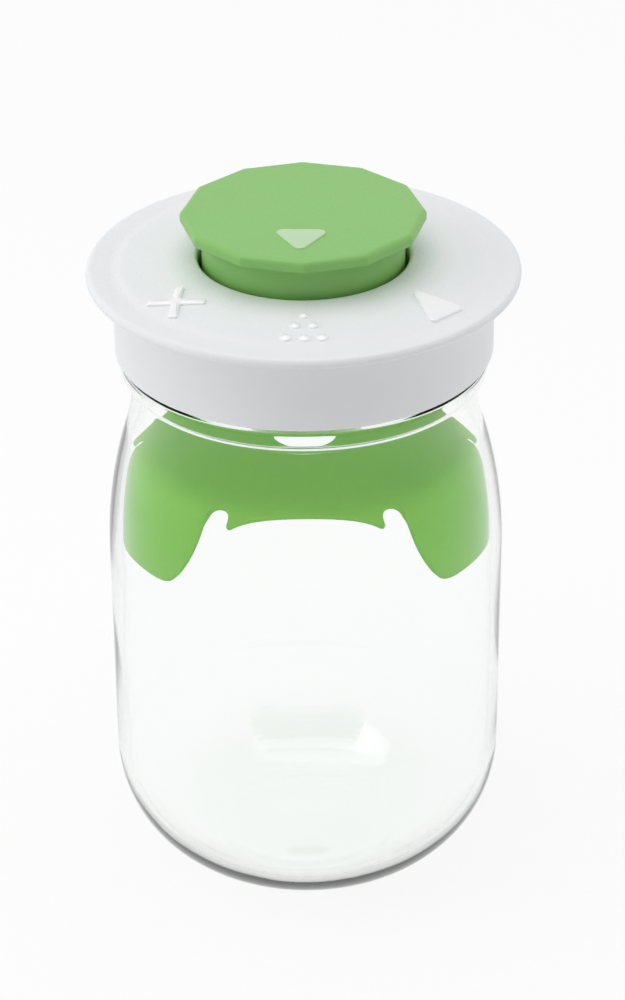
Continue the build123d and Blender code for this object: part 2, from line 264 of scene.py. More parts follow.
def thread_height(angle, height, start, low, high):
    """Height of the thread's ridge over its root, from 0 to 1.

    The nearest ridge line lies at start + lead * turns + whole pitches. Across it the ridge is
    (1 - (2 d / width)^2)^2 of the distance d, and along it a smooth step fades it out at both ends of its
    height.
    """
    turns = angle / (2 * math.pi)
    number = np.round((height - start - THREAD_LEAD * turns) / THREAD_PITCH)
    line = start + THREAD_LEAD * turns + number * THREAD_PITCH
    across = np.clip(1 - (2 * (height - line) / THREAD_WIDTH) ** 2, 0, 1) ** 2
    ends = np.clip((line - low) / THREAD_FADE, 0, 1) * np.clip((high - line) / THREAD_FADE, 0, 1)
    return across * ends * ends * (3 - 2 * ends)


def swell(angle, height, reach):
    """Faint unevenness of blown glass: three slow waves of angle and height, added and scaled to a reach."""
    waves = np.sin(2 * angle + 40 * height + 0.7) + 0.6 * np.sin(3 * angle - 65 * height + 2.1)
    waves = waves + 0.4 * np.sin(5 * angle + 110 * height + 4.0)
    return reach * waves / 2


# Materials

class Finish:
    """The node tree of a material or of the room's light, while it is put together."""

    def __init__(self, owner, output):
        owner.use_nodes = True
        self.nodes, self.link = owner.node_tree.nodes, owner.node_tree.links.new
        self.nodes.clear()
        ends = self.add(output).inputs
        self.surface, self.volume = ends["Surface"], ends["Volume"]

    def add(self, kind, sockets=()):
        """A node whose sockets, by name or number, get a number, a colour or a link from an output."""
        node = self.nodes.new("ShaderNode" + kind)
        for key, value in dict(sockets).items():
            if isinstance(value, bpy.types.NodeSocket):
                self.link(value, node.inputs[key])
            else:
                node.inputs[key].default_value = value
        return node

    def place(self):
        """Object coordinates."""
        return self.add("TexCoord").outputs["Object"]

    def noise(self, scale, detail, stretch=(1, 1, 1)):
        """Noise in object coordinates, with the size of its features set per metre."""
        mapping = self.add("Mapping", {"Scale": stretch, "Vector": self.place()})
        sockets = {"Scale": scale, "Detail": detail, "Roughness": 0.55, "Vector": mapping.outputs["Vector"]}
        return self.add("TexNoise", sockets).outputs[0]

    def spread(self, value, low, high, result_low, result_high):
        """Maps a value's range onto another, with a smooth step between its ends."""
        ends = {"From Min": low, "From Max": high, "To Min": result_low, "To Max": result_high}
        ranged = self.add("MapRange", {"Value": value, **ends})
        ranged.interpolation_type = "SMOOTHSTEP"
        return ranged.outputs["Result"]

    def blended(self, share, first, second):
        """Colour between two, by a share from 0 to 1."""
        mix = self.add("Mix", {0: share, 6: (*first, 1), 7: (*second, 1)})
        mix.data_type = "RGBA"
        return mix.outputs[2]

    def relief(self, height, distance, strength, **below):
        """Bump from a height between 0 and 1 over a distance in metres, on top of another bump's Normal."""
        bump = self.add("Bump", {"Strength": strength, "Distance": distance, "Height": height, **below})
        return bump.outputs["Normal"]

    def reckon(self, operation, first, second):
        """A Math node on an output and another output or a number."""
        node = self.add("Math", {0: first, 1: second})
        node.operation = operation
        return node.outputs[0]

    def mixed(self, first, second, share):
        """Two shaders mixed by the second one's share."""
        return self.add("MixShader", {0: share, 1: first.outputs[0], 2: second.outputs[0]})

    def looked_at(self, share):
        """The share where the ray is from the eye, a glossy surface or a clear one, and 0 elsewhere."""
        path = self.add("LightPath").outputs
        seen = self.reckon("MAXIMUM", path["Is Camera Ray"], path["Is Glossy Ray"])
        seen = self.reckon("MAXIMUM", seen, path["Is Transmission Ray"])
        return self.reckon("MULTIPLY", seen, share)


def new_material(name):
    """A material and its node tree with the output alone."""
    material = bpy.data.materials.new(name)
    return material, Finish(material, "OutputMaterial")


def plastic(name, colour, roughness, grain_scale, grain_depth, tint=0.06, specular=0.5, coat=0.0, through=0.0):
    """Moulded plastic: cloudy colour, roughness that varies a little, a spark grain and slow sink waves."""
    material, tree = new_material(name)
    deep, pale = (np.clip(np.array(colour) * (1 + change), 0, 1) for change in (-tint, tint))
    fine = tree.noise(grain_scale, 2)
    sink = tree.relief(tree.noise(30, 1), 0.15 * MM, 0.25)
    shader = tree.add("BsdfPrincipled", {
        "Base Color": tree.blended(tree.noise(45, 3), deep, pale),
        "Roughness": tree.spread(fine, 0.3, 0.7, roughness - 0.05, roughness + 0.05),
        "Normal": tree.relief(fine, grain_depth, 1.0, Normal=sink),
        "Specular IOR Level": specular,
        "Coat Weight": coat,
        "Coat Roughness": 0.12,
    })
    if through:
        shader = tree.mixed(shader, tree.add("BsdfTranslucent", {"Color": (*colour, 1)}), through)
    tree.link(shader.outputs[0], tree.surface)
    return material


def lid_plastic(colour, top_roughness, skirt_roughness, step):
    """White lid plastic: a matte spark grain on the disc above a height, and a smooth satin below it."""
    material, tree = new_material("white lid plastic")
    split = tree.add("SeparateXYZ", {0: tree.place()})
    above = tree.spread(split.outputs["Z"], step - 0.4 * MM, step, 0.0, 1.0)
    grain = tree.reckon("MULTIPLY", above, tree.noise(1500, 3))
    sink = tree.relief(tree.noise(25, 1), 0.1 * MM, 0.2)
    shader = tree.add("BsdfPrincipled", {
        "Base Color": tree.blended(tree.noise(60, 3), np.array(colour) * 0.985, colour),
        "Roughness": tree.add("Mix", {0: above, 2: skirt_roughness, 3: top_roughness}).outputs[0],
        "Normal": tree.relief(grain, 0.12 * MM, 1.0, Normal=sink),
        "Specular IOR Level": 0.45,
        "Subsurface Weight": 0.06,
        "Subsurface Radius": (4 * MM, 4 * MM, 4 * MM),
    })
    tree.link(shader.outputs[0], tree.surface)
    return material


def silicone(name, colour):
    """Matte silicone with dust in its colour and a soft skin."""
    return plastic(name, colour, 0.6, 900, 0.03 * MM, tint=0.1, specular=0.35, through=0.15)


def clear_glass(colour, depth, ripple):
    """Clear glass that lets the lamps through, with a faint green in its depth and slow ripples."""
    material, tree = new_material("clear jar glass")
    shader = tree.add("BsdfPrincipled", {
        "Base Color": (1, 1, 1, 1),
        "Transmission Weight": 1.0,
        "IOR": 1.5,
        "Roughness": tree.spread(tree.noise(60, 2, (1, 1, 0.35)), 0.35, 0.75, 0.0, 0.02),
        "Normal": tree.relief(tree.noise(22, 2, (1, 1, 0.5)), ripple, 0.5),
    })
    passing = tree.add("BsdfTransparent", {"Color": (0.98, 0.99, 0.985, 1)})
    shadow = tree.add("LightPath").outputs["Is Shadow Ray"]
    tree.link(tree.mixed(shader, passing, shadow).outputs[0], tree.surface)
    absorb = tree.add("VolumeAbsorption", {"Color": (*colour, 1), "Density": depth})
    tree.link(absorb.outputs[0], tree.volume)
    return material


def studio_white(name, share):
    """Pale ground that keeps shadows: diffuse, mixed with white light of strength 1 where it is looked at."""
    material, tree = new_material(name)
    ground = tree.add("BsdfDiffuse", {"Color": (0.97, 0.97, 0.97, 1)})
    both = tree.mixed(ground, tree.add("Emission"), tree.looked_at(share))
    tree.link(both.outputs[0], tree.surface)
    return material


# Sizes and finishes that a user would change

def length(name, description, default):
    """A length in metres, shown in the scene's unit."""
    return bpy.props.FloatProperty(
        name=name, description=description, default=default, unit="LENGTH", precision=4
    )


def number(name, description, default):
    """A plain number, not below 0."""
    return bpy.props.FloatProperty(name=name, description=description, default=default, min=0.0)


def tilt(name, description, degrees):
    """An angle, given in degrees."""
    return bpy.props.FloatProperty(
        name=name, description=description, default=math.radians(degrees), subtype="ANGLE"
    )


def colour(name, description, default):
    """A colour in linear values."""
    return bpy.props.FloatVectorProperty(
        name=name, description=description, default=default, size=3, min=0.0, max=1.0, subtype="COLOR"
    )


class GlassLooks(bpy.types.PropertyGroup):
    body_radius: length("Body radius", "Outer radius of the straight wall", 50.6 * MM)
    wall: length("Wall", "Thickness of the body's wall", 2.7 * MM)
    waist_radius: length("Waist radius", "Outer radius under the finish", 43.3 * MM)
    shoulder_height: length("Shoulder height", "Height at which the shoulder starts", 90.0 * MM)
    waist_height: length("Waist height", "Height at which the shoulder ends", 137.0 * MM)
    thread_reach: length("Thread reach", "Height of the glass thread over the neck", 1.5 * MM)
    unevenness: length("Unevenness", "How far the inner face wanders", 0.1 * MM)
    tint: colour("Tint", "Colour of light after a metre of glass", (0.45, 0.86, 0.62))
    depth: number("Depth of tint", "Absorption per metre", 8.0)
    ripple: length("Ripple", "Depth of the slow ripples on the glass", 0.15 * MM)


class LidLooks(bpy.types.PropertyGroup):
    radius: length("Radius", "Outer radius of the disc", LID_RADIUS + 0.45 * MM)
    well_radius: length("Well radius", "Radius of the well that the knob stands in", 26.1 * MM)
    skirt_radius: length("Skirt radius", "Outer radius of the skirt", 47.15 * MM)
    brim: length("Brim", "Width of the flat brim round the disc", 6.5 * MM)
    step: length("Step", "Width of the soft step inside the brim", 2.2 * MM)
    thread_reach: length("Thread reach", "Depth of the thread inside the skirt", 1.5 * MM)
    mark_stand: length("Mark height", "How far the raised marks stand over the disc", 0.6 * MM)
    white: colour("White", "Colour of the lid", (0.83, 0.84, 0.86))
    mark_white: colour("Mark white", "Colour of the raised marks", (0.9, 0.91, 0.92))
    top_roughness: number("Top roughness", "Roughness of the grained disc", 0.6)
    skirt_roughness: number("Skirt roughness", "Roughness of the skirt", 0.38)


class KnobLooks(bpy.types.PropertyGroup):
    sides: bpy.props.IntProperty(name="Sides", description="Flats round the grip", default=12, min=3)
    corner_reach: length("Corner reach", "Distance from the axis to a corner before it is rounded", 30.2 * MM)
    corner_round: length("Corner round", "Radius of the grip's upright corners", 2.0 * MM)
    thickness: length("Thickness", "Thickness of the grip", 3.2 * MM)
    neck_radius: length("Neck radius", "Radius of the round neck", 25.0 * MM)
    green: colour("Green", "Colour of the knob", (0.225, 0.5, 0.13))
    # The pointer's pale colour is partly its own green and partly a painted sheen: the base colour is lightened
    # to stand for the softbox's reflection on its glossy top
    pointer_green_and_painted_sheen: colour("Pointer green and painted sheen", "Colour of the pointer", (0.46, 0.66, 0.38))
    roughness: number("Roughness", "Roughness of the grip", 0.42)


class KeeperLooks(bpy.types.PropertyGroup):
    wall: length("Wall", "Thickness of the keeper", 1.2 * MM)
    height: length("Height", "Height of the plate's edge", 120.0 * MM)
    petal_length: length("Petal length", "Height of a petal", 23.3 * MM)
    green: colour("Green", "Colour of the keeper", (0.43, 0.84, 0.08))
    through: number("Light through", "Share of light that passes", 0.68)


class StageLooks(bpy.types.PropertyGroup):
    distance: length("Camera distance", "From the camera to the middle of the jar", 0.8)
    elevation: tilt("Elevation", "Angle of the camera", 30.88)
    lens: number("Lens", "Focal length in millimetres", 110.84)
    lift: tilt("Lift", "Turn of the camera over the middle", 1.21)
    aside: tilt("Aside", "Turn of the camera to the right", 0.150)
    roll: tilt("Roll", "Turn of the camera about its view", -0.40)
    room: number("Room light", "Strength of the light from all round", 0.4)
    lamps: number("Lamps", "Strength of the soft lamps", 1.0)


def group(kind, name, description):
    """A group of sizes and finishes."""
    return bpy.props.PointerProperty(type=kind, name=name, description=description)


class JarLooks(bpy.types.PropertyGroup):
    glass: group(GlassLooks, "Glass", "Glass jar")
    lid: group(LidLooks, "Lid", "Screw lid")
    knob: group(KnobLooks, "Knob", "Valve knob")
    keeper: group(KeeperLooks, "Keeper", "Keeper in the jar")
    stage: group(StageLooks, "Stage", "Floor, light and camera")


# Glass jar

def jar_profile(looks):
    """Half section of the jar from the middle of the foot, up the outside, over the rim and down the inside.

    The foot is a flat ring round a shallow dish, the heel is a quarter of an ellipse, the wall is upright, the
    shoulder is two tangent arcs, and over the waist a short flare carries the bead that stands under the
    lid's skirt.
    """
    body, waist = looks.body_radius, looks.waist_radius
    inside, neck = body - looks.wall, waist - NECK_WALL
    low, high = looks.shoulder_height, looks.waist_height
    bead, flare_top = waist + 2.6 * MM, high + 4.5 * MM
    bead_lip = (bead - 0.5 * MM, flare_top - 0.45 * MM)
    dish, ring, foot, heel = 20.0 * MM, 22.0 * MM, 24.0 * MM, 31.0 * MM
    rings = cornered((
        (bead, flare_top, 0),
        (bead, flare_top + 3.2 * MM, 0.6),
        (waist, flare_top + 4.8 * MM, 0.7),
        (waist, RIM, 0.8),
        (neck, RIM, 0.8),
        (neck, high, 0),
    ))
    return chain(
        tangent_arc((0, 2.0 * MM), (dish, 0.15 * MM), OUT, 12),
        tangent_arc((dish, 0.15 * MM), (ring, 0), (1, -0.15), 4),
        ellipse_arc((ring, heel), body - ring, heel, 270, 360, 44),
        divided(straight((body, heel), (body, low), 2), 2.5 * MM),
        double_arc((body, low), (waist, high), UP, SHOULDER_SHARE, 22),
        tangent_arc((waist, high + 1 * MM), bead_lip, UP, 12),
        tangent_arc(bead_lip, (bead, flare_top + 0.1 * MM), (0.93, 0.36), 6),
        divided(rings[2:-1], 0.3 * MM),
        double_arc((inside, low), (neck, high), UP, SHOULDER_SHARE, 22)[::-1],
        divided(straight((inside, low), (inside, heel), 2), 2.5 * MM),
        ellipse_arc((foot, heel), inside - foot, heel - 4.5 * MM, 360, 270, 40),
        tangent_arc((0, 6.5 * MM), (foot, 4.5 * MM), OUT, 12)[::-1],
    )


class BuildGlassJar(bpy.types.Operator):
    """Glass jar: one turned skin, threaded over the neck and faintly uneven inside"""

    bl_idname = "fermentation_jar.glass_jar"
    bl_label = "Glass jar"

    def execute(self, context):
        looks = context.scene.fermentation_jar.glass
        profile = jar_profile(looks)
        angles = even_angles(200)
        radius, height = profile[:, :1], profile[:, 1:]
        outside = np.cumsum(np.isclose(height, RIM, atol=1e-6))[:, None] == 0
        thread_foot = looks.waist_height + 17 * MM
        on_neck = outside & (height > thread_foot)
        ridge = thread_height(angles, height, RIM - 9 * MM, RIM - 8.9 * MM, RIM - 2.2 * MM)
        wander = swell(angles, height, looks.unevenness) * ~outside * (radius > 0)
        # The unevenness dies away over 20 mm below the rim and towards the axis
        fading = np.clip((RIM - 6 * MM - height) / (20 * MM), 0, 1) * np.clip(radius / (20 * MM), 0, 1)
        radius = radius + looks.thread_reach * ridge * on_neck - np.abs(wander) * fading
        glass = clear_glass(tuple(looks.tint), looks.depth, looks.ripple)
        jar = skin(turned(radius, height, angles))
        piece("jar_glass", [jar], glass, "jar", ("glass_jar",))
        return {"FINISHED"}


# Lid

def disc_height(looks, radius):
    """Height of the disc at a radius: an even fall from the well to the step, then a steeper one."""
    brim = looks.radius - looks.brim
    low = DISC_UNDER + 2.4 * MM
    return np.interp(radius, (looks.well_radius, brim - looks.step, brim), (DISC_TOP, low + 0.6 * MM, low))


def lid_profile(looks):
    """Closed half section of the lid: well and hub, disc, brim, skirt and the plug ring inside the neck."""
    well, skirt = looks.well_radius, looks.skirt_radius
    well_back, well_foot = well + 1.8 * MM, WELL_FLOOR - 2 * MM
    hub, bore, hub_top = 7.95 * MM, 5.05 * MM, WELL_FLOOR + 6 * MM
    inside, skirt_foot = skirt - SKIRT_WALL, DISC_UNDER - 19.6 * MM
    plug, plug_foot = 40.4 * MM, DISC_UNDER - 4.6 * MM
    plug_back = plug - PLUG_WALL
    brim, brim_top = looks.radius - looks.brim, DISC_UNDER + 2.4 * MM
    corners = (
        (bore, well_foot, 0.2),
        (well_back, well_foot, 0.9),
        (well_back, disc_height(looks, well_back) - 2.3 * MM, 0.5),
        (plug_back, disc_height(looks, plug_back) - 2.3 * MM, 0.8),
        (plug_back, plug_foot, 0.4),
        (plug, plug_foot, 0.5),
        (plug, DISC_UNDER, 0.2),
        (inside, DISC_UNDER, 0.3),
        (inside, skirt_foot, 0.45),
        (skirt, skirt_foot, 0.6),
        (skirt, DISC_UNDER, 0.5),
        (looks.radius, DISC_UNDER, 0.95),
        (looks.radius, brim_top, 1.3),
        (brim, brim_top, 7.0),
        (brim - looks.step, brim_top + 0.6 * MM, 7.0),
        (well, DISC_TOP, 0.8),
        (well, WELL_FLOOR, 0.4),
        (hub, WELL_FLOOR, 0.3),
        (hub, hub_top, 0.3),
        (bore, hub_top, 0.3),
    )
    return cornered(corners, 6)


def raised(outline, centre, low, high, round_off, place, lie=None, crown=0.0):
    """Closed skin of a raised shape: walls up its outline, a rounded edge and a top that closes at its centre.

    The outline moves inwards along its own normal by round_off (1 - cos a) while it rises by round_off sin a.
    Then it shrinks towards the centre, and a crown lifts the middle. A lie function gives the height under
    each point. Where the place mirrors the outline, the grid is run the other way round, so that its faces
    point outwards.
    """
    ahead = unit(np.roll(outline, -1, axis=0) - np.roll(outline, 1, axis=0))
    inward = np.column_stack((-ahead[:, 1], ahead[:, 0]))
    turn = np.radians(np.linspace(0, 90, 6))[:, None, None]
    edge = outline + round_off * (1 - np.cos(turn)) * inward
    edge_height = high - round_off + round_off * np.sin(turn[:, 0, 0])
    centre = np.asarray(centre, float)
    shares = np.array((0.93, 0.6, 0.3, 0.0))[:, None, None]
    cap = centre + shares * (edge[-1] - centre)
    cap_height = high + crown * (1 - shares[:, 0, 0] ** 2)
    flat = np.concatenate((outline[None] * 0 + centre, outline[None], edge, cap))
    heights = np.concatenate(((low, low), edge_height, cap_height))
    spots = place(flat)
    level = heights[:, None] + (lie(spots) if lie else 0.0) * np.ones(flat.shape[:2])
    grid = np.dstack((spots, level))
    across, along = spots[1].T
    if across @ np.roll(along, -1) < along @ np.roll(across, -1):
        grid = grid[:, ::-1]
    return skin(grid)


def placed(origin, side, out):
    """Carries flat points to origin + x side + y out."""
    origin, side, out = (np.asarray(v, float) for v in (origin, side, out))
    return lambda points: origin + points[..., :1] * side + points[..., 1:] * out


def turned_place(degrees, distance=0.0):
    """Places a flat shape at a bearing from the front: its y axis points away from the axis of the lid."""
    angle = math.radians(degrees)
    out = np.array((math.sin(angle), -math.cos(angle)))
    return placed(distance * out, (math.cos(angle), math.sin(angle)), out)


def bar(start, end, width, low, high, round_off):
    """Upright rib along a straight line: its outline is a rounded rectangle about the line, raised."""
    start, end = np.array((start, end), float)
    reach = np.linalg.norm(end - start)
    along = unit(end - start)
    outline = rounded(
        ((0, -width / 2), (reach, -width / 2), (reach, width / 2), (0, width / 2)), round_off, 4
    )
    across = (-along[1], along[0])
    return raised(outline, (reach / 2, 0), low, high, round_off, placed(start, along, across))


def cross_outline(reach, width, fillet, tip):
    """Saint Andrew's cross: four equal arms on the diagonals, with round tips and fillets between them."""
    half = width / 2
    x, y = np.array(((reach, -half), (reach, half), (half, half))).T
    turns = np.radians(45 + 90 * np.arange(4))[:, None]
    spun = np.stack((x * np.cos(turns) - y * np.sin(turns), x * np.sin(turns) + y * np.cos(turns)), axis=2)
    return rounded(spun.reshape(-1, 2), np.tile((tip, tip, fillet), 4), 5, 0.1 * MM)


class BuildLid(bpy.types.Operator):
    """Screw lid: one turned skin with its thread, the ribs under the disc and the stop in the well"""

    bl_idname = "fermentation_jar.lid"
    bl_label = "Screw lid"

    def execute(self, context):
        looks = context.scene.fermentation_jar.lid
        profile = divided(lid_profile(looks), 3.0 * MM, closed=True)
        inside = looks.skirt_radius - SKIRT_WALL
        on_thread = np.isclose(profile[:, 0], inside, atol=1e-6) & (profile[:, 1] < DISC_UNDER - 0.5 * MM)
        first, last = np.flatnonzero(on_thread)[[0, -1]]
        fine = straight(profile[first], profile[last], 64)
        profile = np.vstack((profile[:first], fine, profile[last + 1 :]))
        angles = even_angles(216)
        radius, height = profile[:, :1], profile[:, 1:]
        ridge = thread_height(angles, height, RIM - 11 * MM, RIM - 10.6 * MM, RIM - 1.2 * MM)
        radius = radius - looks.thread_reach * ridge * np.isclose(radius, inside, atol=1e-6)
        skins = [skin(turned(radius, height, angles), ring=True)]
        rib_start, rib_end = looks.well_radius + 1.4 * MM, 38.9 * MM
        for turn in np.radians(15 + 30 * np.arange(12)):
            out = np.array((math.cos(turn), math.sin(turn)))
            low, high = DISC_UNDER - 3.6 * MM, DISC_UNDER + 1.0 * MM
            skins.append(bar(out * rib_start, out * rib_end, 1.4 * MM, low, high, 0.3 * MM))
        stop_start, stop_end = (0, 23.4 * MM), (0, looks.well_radius + 0.9 * MM)
        low, high = WELL_FLOOR - 0.5 * MM, WELL_FLOOR + 4.2 * MM
        skins.append(bar(stop_start, stop_end, 3 * MM, low, high, 0.3 * MM))
        white = lid_plastic(
            tuple(looks.white), looks.top_roughness, looks.skirt_roughness, DISC_UNDER + 2.3 * MM
        )
        made = piece("lid_moulding", skins, white, "lid", ("lid_shell",))
        self.drill(context, made)
        return {"FINISHED"}

    def drill(self, context, made):
        """Opens the gas port in the well's floor: a turned pin is taken away from the lid, and the pin goes.

        The pin's corners lie off the middle plane, where the lid has its own.
        """
        port, low, high = 2 * MM, WELL_FLOOR - 5 * MM, WELL_FLOOR + 2 * MM
        angles = even_angles(48)
        pin_line = chain((0, low), (port, low), (port, high), (0, high))
        pin = flat_turned("port_pin", pin_line, angles + angles[1] / 2, (0, -15 * MM, 0))
        cut = made.modifiers.new("gas port", "BOOLEAN")
        cut.operation = "DIFFERENCE"
        cut.solver = "EXACT"
        cut.use_self = False
        cut.object = pin
        context.view_layer.update()
        shown = made.evaluated_get(context.evaluated_depsgraph_get())
        drilled = bpy.data.meshes.new_from_object(shown)
        made.modifiers.clear()
        made.data = drilled
        bpy.data.objects.remove(pin)
        if len(drilled.polygons) < 1000:
            raise RuntimeError("the gas port was not cut")


class BuildLidMarks(bpy.types.Operator):
    """Raised marks on the disc: a cross for closed, six dots for fermenting and a triangle for open"""

    bl_idname = "fermentation_jar.lid_marks"
    bl_label = "Raised marks"

    def execute(self, context):
        looks = context.scene.fermentation_jar.lid
        stand, foot = looks.mark_stand, -0.5 * MM

        def lie(spots):
            return disc_height(looks, np.hypot(spots[..., 0], spots[..., 1]))

        def mark(name, skins):
            piece(name, skins, white, "lid")

        white = plastic("raised mark white", tuple(looks.mark_white), 0.2, 700, 0.01 * MM, tint=0.01, coat=0.4)
        cross = cross_outline(7.1 * MM, 2.25 * MM, 0.5 * MM, 0.6 * MM)
        aside = turned_place(-50.7, 39.3 * MM)
        mark("mark_closed", [raised(cross, (0, 0), foot, stand, 0.42 * MM, aside, lie, 0.12 * MM)])
        ring = even_angles(28)
        circle = np.column_stack((np.cos(ring), np.sin(ring)))
        ahead = turned_place(0)
        # Each dot's place and radius in millimetres
        dots = (
            (0, 33.7, 1.15), (-2.1, 37.9, 1.3), (2.1, 37.9, 1.3), (-4.2, 43, 1.5), (0, 43.3, 1.5), (4.2, 43, 1.5)
        )
        high, soft = stand - 0.1 * MM, 0.5 * MM
        mark("mark_fermenting", [
            raised(dot[2] * circle + dot[:2], dot[:2], foot, high, soft, ahead, lie, 0.25 * MM)
            for dot in np.array(dots) * MM
        ])
        corners = np.array(((38.3, 27.2), (30.1, 35.4), (25.4, 19.9))) * MM
        outline = rounded(corners, 1.1 * MM, 7, 0.15 * MM)
        middle = corners.mean(axis=0)
        mark("mark_open", [raised(outline, middle, foot, stand, 0.35 * MM, ahead, lie, 0.1 * MM)])
        return {"FINISHED"}


# Knob

def grip_corner(sides, reach, corner_round):
    """Angle from one corner to the next, distance of a corner arc's centre, and half the arc's own angle."""
    step = 2 * math.pi / sides
    centre = reach - corner_round / math.cos(step / 2)
    across, along = corner_round * math.sin(step / 2), corner_round * math.cos(step / 2)
    return step, centre, math.atan2(across, centre + along)


def grip_angles(sides, reach, corner_round, extra):
    """Column angles for a rounded polygon: close together over each corner's arc, even over each flat."""
    step, _, touch = grip_corner(sides, reach, corner_round)
    corner = np.linspace(-touch, touch, 7)
    flat = np.linspace(touch, step - touch, 9)[1:-1]
    period = np.concatenate((corner, flat))
    every = (period[None] + step * np.arange(sides)[:, None]).ravel() % (2 * math.pi)
    apart = np.abs(every[:, None] - np.asarray(extra)[None]).min(1) > math.radians(0.12)
    return np.sort(np.concatenate((every[apart], extra)))


def grip_reach(angles, sides, reach, corner_round):
    """Distance of a rounded polygon's outline at each angle.

    On a flat it is the flat's distance over the cosine of the angle from its middle. On a corner's arc it is
    c cos a + sqrt(round^2 - c^2 sin^2 a), where c is the distance of the arc's centre and a the angle from the
    corner.
    """
    step, centre, touch = grip_corner(sides, reach, corner_round)
    off = (angles + step / 2) % step - step / 2
    flat = reach * math.cos(step / 2) / np.cos(step / 2 - np.abs(off))
    inner = np.sqrt(np.maximum(corner_round**2 - (centre * np.sin(off)) ** 2, 0))
    return np.where(np.abs(off) < touch, centre * np.cos(off) + inner, flat)


class BuildKnob(bpy.types.Operator):
    """Knob: one skin from the twelve-sided grip down the round neck, up its hollow and down the stem"""

    bl_idname = "fermentation_jar.knob"
    bl_label = "Knob"

    def execute(self, context):
        looks = context.scene.fermentation_jar.knob
        top, foot = KNOB_TOP, KNOB_TOP - 27.0 * MM
        under, neck = top - looks.thickness, looks.neck_radius
        # The slot for the lid's stop takes the knob's turn and the stop's own width
        slot_half = math.radians(57.3) + math.asin(1.5 / 23.0)
        sharp = math.radians(0.04)
        edges = [math.pi / 2 + side * (slot_half + shift) for side in (-1, 1) for shift in (-sharp, sharp)]
        shape = (looks.sides, looks.corner_reach, looks.corner_round)
        angles = grip_angles(*shape, sorted(edges))
        reach = grip_reach(angles, *shape)
        over, below = 1.3 * MM, 0.9 * MM
        round_top = ellipse_arc((0, top - over), over, over, 90, 0, 7)
        round_under = ellipse_arc((0, under + below), below, below, 0, -90, 6)
        # Rows of the grip: how far inside the polygon, and the height
        inset = np.concatenate((
            (3.5 * MM, 1.7 * MM), over - round_top[:, 0], (0.0, 0.0), below - round_under[:, 0], (1.3 * MM,)
        ))
        level = np.concatenate((
            (top, top), round_top[:, 1], (top - 1.7 * MM, under + 1.3 * MM), round_under[:, 1], (under,)
        ))
        grip = np.dstack(np.broadcast_arrays(reach - inset[:, None], level[:, None]))
        middle = np.array(((0, top), (6 * MM, top), (14 * MM, top), (21 * MM, top)))
        cove = tangent_arc((neck, under - 5 * MM), (neck + 2.8 * MM, under - 0.05 * MM), UP, 9)[::-1]
        ceiling, neck_inside, start = top - 2.4 * MM, neck - 2 * MM, foot + 12 * MM
        stem, seat = 5.0 * MM, 4.2 * MM
        seat_top, seat_foot = foot - 2.65 * MM, foot - 3.75 * MM
        # Down the neck, round its foot, up inside to the ceiling and down the stem with the clip's seat
        hollow = cornered((
            (0, start, 0),
            (neck, start, 0),
            (neck, foot, 0.4),
            (neck_inside, foot, 0.4),
            (neck_inside, ceiling, 0.8),
            (stem, ceiling, 0.8),
            (stem, seat_top, 0.1),
            (seat, seat_top, 0.1),
            (seat, seat_foot, 0.1),
            (stem, seat_foot, 0.1),
            (stem, KNOB_FOOT, 0.75),
            (0, KNOB_FOOT, 0),
        ))
        hollow = hollow[np.flatnonzero(np.isclose(hollow[:, 0], neck, atol=1e-6))[0] :]
        lower = chain(cove, divided(hollow, 2.0 * MM))
        lower = lower[: np.flatnonzero(lower[:, 0] < 1e-7)[0] + 1]
        crown, stalk = (np.repeat(line[:, None], len(angles), axis=1) for line in (middle, lower))
        rows = np.concatenate((crown, grip, stalk))[::-1]
        radius, height = rows[..., 0], rows[..., 1]
        # The foot of the neck rises over the slot, and the rise dies away up to reach_up
        slot_height = 4.4 * MM
        in_slot = np.abs((angles - math.pi / 2 + math.pi) % (2 * math.pi) - math.pi) < slot_half
        reach_up = foot + 11 * MM
        on_neck = (radius > neck - 3 * MM) & (height < reach_up)
        share = np.clip((reach_up - height) / (reach_up - foot), 0, 1)
        height = height + slot_height * share * (on_neck & in_slot)
        green = plastic("knob green", tuple(looks.green), looks.roughness, 1800, 0.035 * MM, tint=0.05)
        knob = skin(turned(radius, height, angles))
        piece("knob_moulding", [knob], green, "knob", ("knob",))
        outline = rounded(np.array(((-7.2, 11.7), (7.2, 11.7), (0.0, 24.3))) * MM, 1.7 * MM, 9, 0.2 * MM)
        low, high = top - 1.0 * MM, top + 0.3 * MM
        inlay = raised(
            outline, (0, 15.6 * MM), low, high, 0.24 * MM, turned_place(-2.2), crown=0.05 * MM
        )
        # The pale base colour paints a sheen over the pointer's green, on top of the real reflection from the
        # coat
        pale = plastic("pointer green and painted sheen", tuple(looks.pointer_green_and_painted_sheen), 0.16, 500, 0.01 * MM, tint=0.05, coat=0.5)
        piece("pointer_inlay", [inlay], pale, "knob", ("pointer",))
        return {"FINISHED"}


# Keeper

